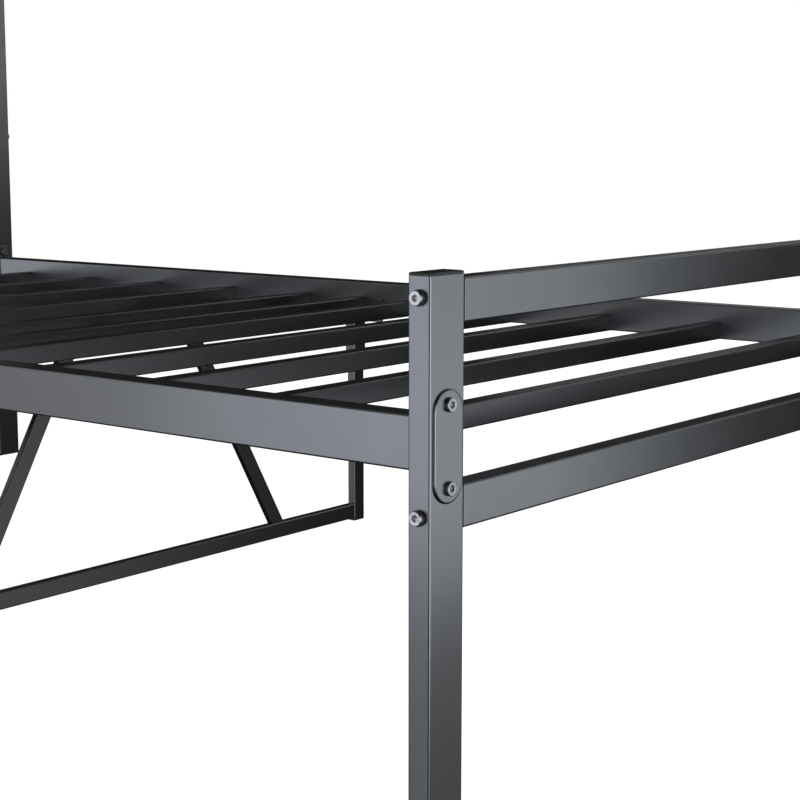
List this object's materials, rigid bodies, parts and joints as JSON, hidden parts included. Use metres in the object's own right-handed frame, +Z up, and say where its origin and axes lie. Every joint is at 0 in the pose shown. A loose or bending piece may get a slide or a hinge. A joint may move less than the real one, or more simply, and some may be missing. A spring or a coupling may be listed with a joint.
{
  "type": "metal bed frame",
  "caption": "Bolted metal bed frame of black rectangular tube, with plain head and foot rails, a slatted deck and a braced middle support.",
  "frame": {"origin": "on the floor, at the centre of the overall length and width", "axes": "+X across the bed, +Y from the foot end to the head end, +Z up"},
  "size_m": [1.1526, 1.9904, 1],
  "materials": {
    "powder_coat": "satin dark grey powder coat on steel tube",
    "slat_coat": "satin black powder coat on steel slats",
    "black_plastic": "moulded black plastic",
    "zinc_bolt": "zinc-plated flat-head socket bolt"
  },
  "bodies": {
    "root": {"centre_brace_left": "powder_coat", "centre_brace_right": "powder_coat", "centre_cross_tube": "slat_coat", "centre_foot_tube": "powder_coat", "centre_leg_foot_left": "black_plastic", "centre_leg_foot_right": "black_plastic", "centre_leg_left": "powder_coat", "centre_leg_right": "powder_coat", "foot_cap_left": "black_plastic", "foot_cap_right": "black_plastic", "foot_glide_left": "black_plastic", "foot_glide_right": "black_plastic", "foot_joint_bolt_lower_left": "zinc_bolt", "foot_joint_bolt_lower_right": "zinc_bolt", "foot_joint_bolt_upper_left": "zinc_bolt", "foot_joint_bolt_upper_right": "zinc_bolt", "foot_lower_bolt_left": "zinc_bolt", "foot_lower_bolt_right": "zinc_bolt", "foot_post_left": "powder_coat", "foot_post_right": "powder_coat", "foot_rail_lower": "powder_coat", "foot_rail_upper": "powder_coat", "foot_upper_bolt_left": "zinc_bolt", "foot_upper_bolt_right": "zinc_bolt", "head_cap_left": "black_plastic", "head_cap_right": "black_plastic", "head_glide_left": "black_plastic", "head_glide_right": "black_plastic", "head_joint_bolt_lower_left": "zinc_bolt", "head_joint_bolt_lower_right": "zinc_bolt", "head_joint_bolt_upper_left": "zinc_bolt", "head_joint_bolt_upper_right": "zinc_bolt", "head_lower_bolt_left": "zinc_bolt", "head_lower_bolt_right": "zinc_bolt", "head_middle_bolt_left": "zinc_bolt", "head_middle_bolt_right": "zinc_bolt", "head_post_left": "powder_coat", "head_post_right": "powder_coat", "head_rail_lower": "powder_coat", "head_rail_middle": "powder_coat", "head_rail_top": "powder_coat", "head_top_bolt_left": "zinc_bolt", "head_top_bolt_right": "zinc_bolt", "leg_socket_left": "powder_coat", "leg_socket_right": "powder_coat", "outer_plate_left": "powder_coat", "outer_plate_right": "powder_coat", "side_rail_left": "powder_coat", "side_rail_right": "powder_coat", "slat_01": "slat_coat", "slat_02": "slat_coat", "slat_03": "slat_coat", "slat_04": "slat_coat", "slat_05": "slat_coat", "slat_06": "slat_coat", "slat_07": "slat_coat", "slat_08": "slat_coat", "slat_09": "slat_coat", "slat_10": "slat_coat"}
  },
  "joints": []
}
